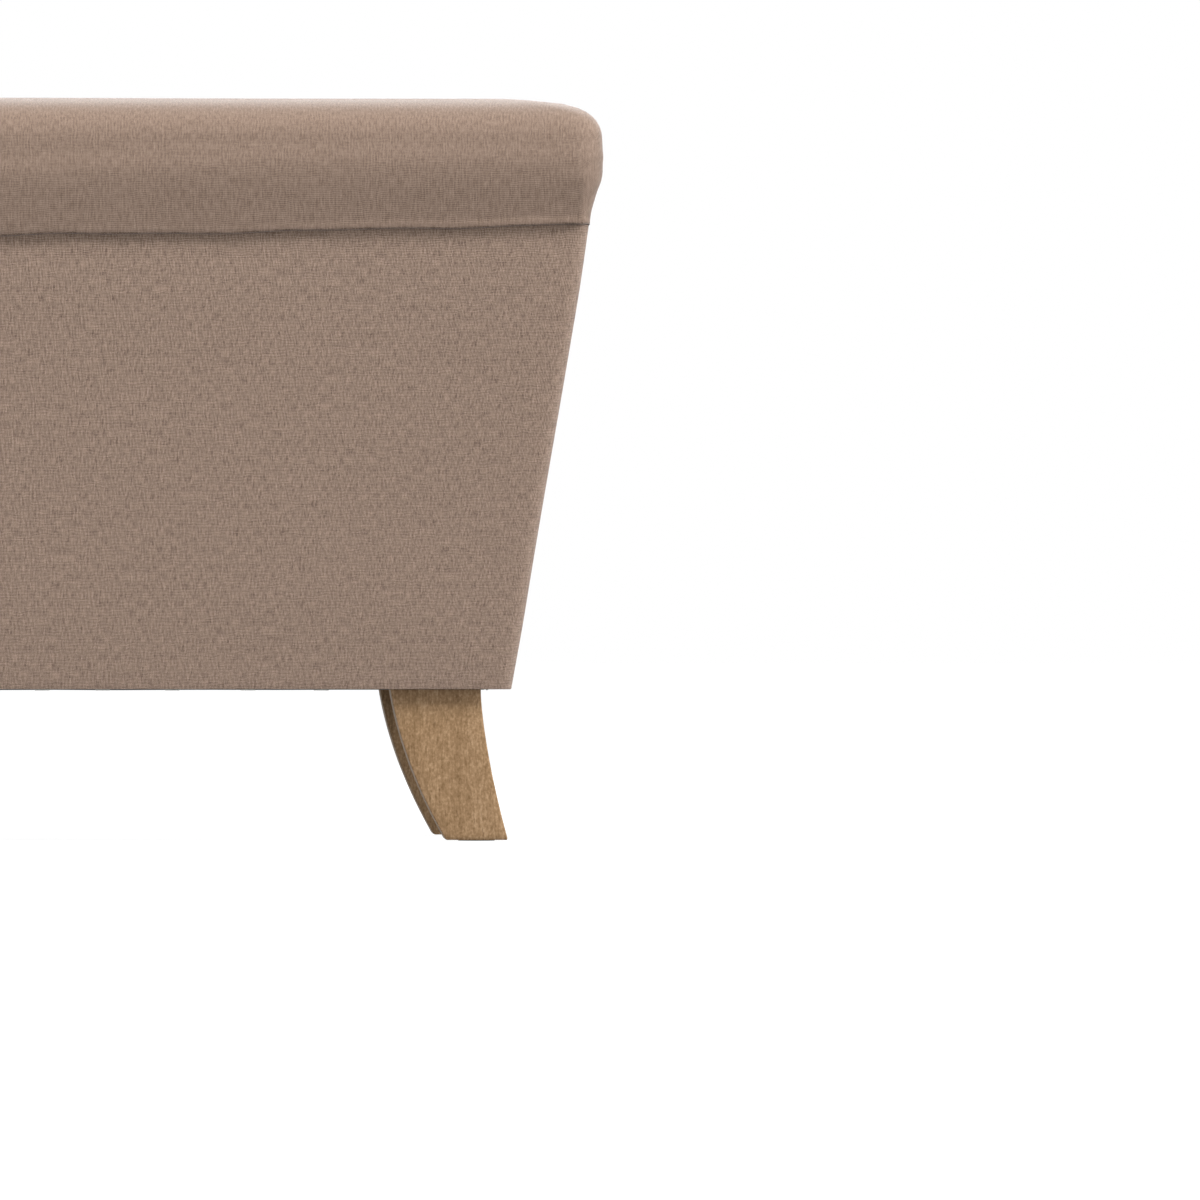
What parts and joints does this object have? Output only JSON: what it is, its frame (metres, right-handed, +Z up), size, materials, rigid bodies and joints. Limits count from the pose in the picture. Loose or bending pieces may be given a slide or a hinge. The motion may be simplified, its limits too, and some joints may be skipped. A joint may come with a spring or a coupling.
{
  "type": "ottoman with storage",
  "caption": "Tapered fabric-covered storage ottoman with a hinged padded lid on gas struts and sabre-shaped wooden legs.",
  "frame": {"origin": "on the floor under the middle of the ottoman", "axes": "+X along the width to the ottoman's right as seen from the front, the front faces -Y, +Z up"},
  "size_m": [1.0584, 0.4584, 0.486],
  "materials": {
    "upholstery": "taupe linen-look plain weave",
    "leg_oak": "light oak, satin lacquer",
    "plywood": "raw birch plywood",
    "lining": "dark non-woven cloth",
    "foam": "polyurethane foam",
    "zinc_steel": "zinc-plated steel",
    "black_steel": "black lacquered tube",
    "plastic": "moulded"
  },
  "bodies": {
    "box": {"front_panel": "plywood", "rear_panel": "plywood", "left_panel": "plywood", "right_panel": "plywood", "bottom_panel": "plywood", "front_left_corner_block": "plywood", "front_right_corner_block": "plywood", "rear_left_corner_block": "plywood", "rear_right_corner_block": "plywood", "box_cover": "upholstery", "storage_lining": "lining", "storage_floor_board": "lining", "dust_cover": "lining", "front_left_leg": "leg_oak", "front_right_leg": "leg_oak", "rear_left_leg": "leg_oak", "rear_right_leg": "leg_oak", "front_left_hanger_bolt": "zinc_steel", "front_left_tee_nut": "zinc_steel", "front_right_hanger_bolt": "zinc_steel", "front_right_tee_nut": "zinc_steel", "rear_left_hanger_bolt": "zinc_steel", "rear_left_tee_nut": "zinc_steel", "rear_right_hanger_bolt": "zinc_steel", "rear_right_tee_nut": "zinc_steel", "left_hinge_fixed_leaf": "zinc_steel", "left_hinge_pin": "zinc_steel", "left_wall_bracket": "zinc_steel", "right_hinge_fixed_leaf": "zinc_steel", "right_hinge_pin": "zinc_steel", "right_wall_bracket": "zinc_steel", "front_left_glide": "plastic", "front_left_bumper": "plastic", "front_right_glide": "plastic", "front_right_bumper": "plastic", "rear_left_glide": "plastic", "rear_left_bumper": "plastic", "rear_right_glide": "plastic", "rear_right_bumper": "plastic"},
    "lid": {"lid_board": "plywood", "lid_cover": "upholstery", "lid_foam": "foam", "lid_lining": "lining", "left_hinge_lid_leaf": "zinc_steel", "left_lid_bracket": "zinc_steel", "right_hinge_lid_leaf": "zinc_steel", "right_lid_bracket": "zinc_steel"},
    "left_cylinder": {"left_strut_cylinder": "black_steel"},
    "left_rod": {"left_strut_rod": "zinc_steel"},
    "right_cylinder": {"right_strut_cylinder": "black_steel"},
    "right_rod": {"right_strut_rod": "zinc_steel"}
  },
  "joints": [
    {"name": "lid_hinge", "type": "hinge", "parent": "box", "child": "lid", "pos_m": [0, 0.2226, 0.402], "axis": [-1, 0, 0], "range_deg": [0, 75]},
    {"name": "left_cylinder_pivot", "type": "hinge", "parent": "box", "child": "left_cylinder", "pos_m": [-0.438, 0.1525, 0.20405], "axis": [-1, 0, 0], "range_deg": [0, 37.5]},
    {"name": "left_rod_pivot", "type": "hinge", "parent": "lid", "child": "left_rod", "pos_m": [-0.438, 0.01289, 0.39101], "axis": [-1, 0, 0], "range_deg": [-37.5, 0]},
    {"name": "right_cylinder_pivot", "type": "hinge", "parent": "box", "child": "right_cylinder", "pos_m": [0.438, 0.1525, 0.20405], "axis": [-1, 0, 0], "range_deg": [0, 37.5]},
    {"name": "right_rod_pivot", "type": "hinge", "parent": "lid", "child": "right_rod", "pos_m": [0.438, 0.01289, 0.39101], "axis": [-1, 0, 0], "range_deg": [-37.5, 0]}
  ],
  "couplings": [
    {"joint": "left_cylinder_pivot", "follows": "lid_hinge", "ratio": 0.5},
    {"joint": "left_rod_pivot", "follows": "lid_hinge", "ratio": -0.5},
    {"joint": "right_cylinder_pivot", "follows": "lid_hinge", "ratio": 0.5},
    {"joint": "right_rod_pivot", "follows": "lid_hinge", "ratio": -0.5}
  ]
}
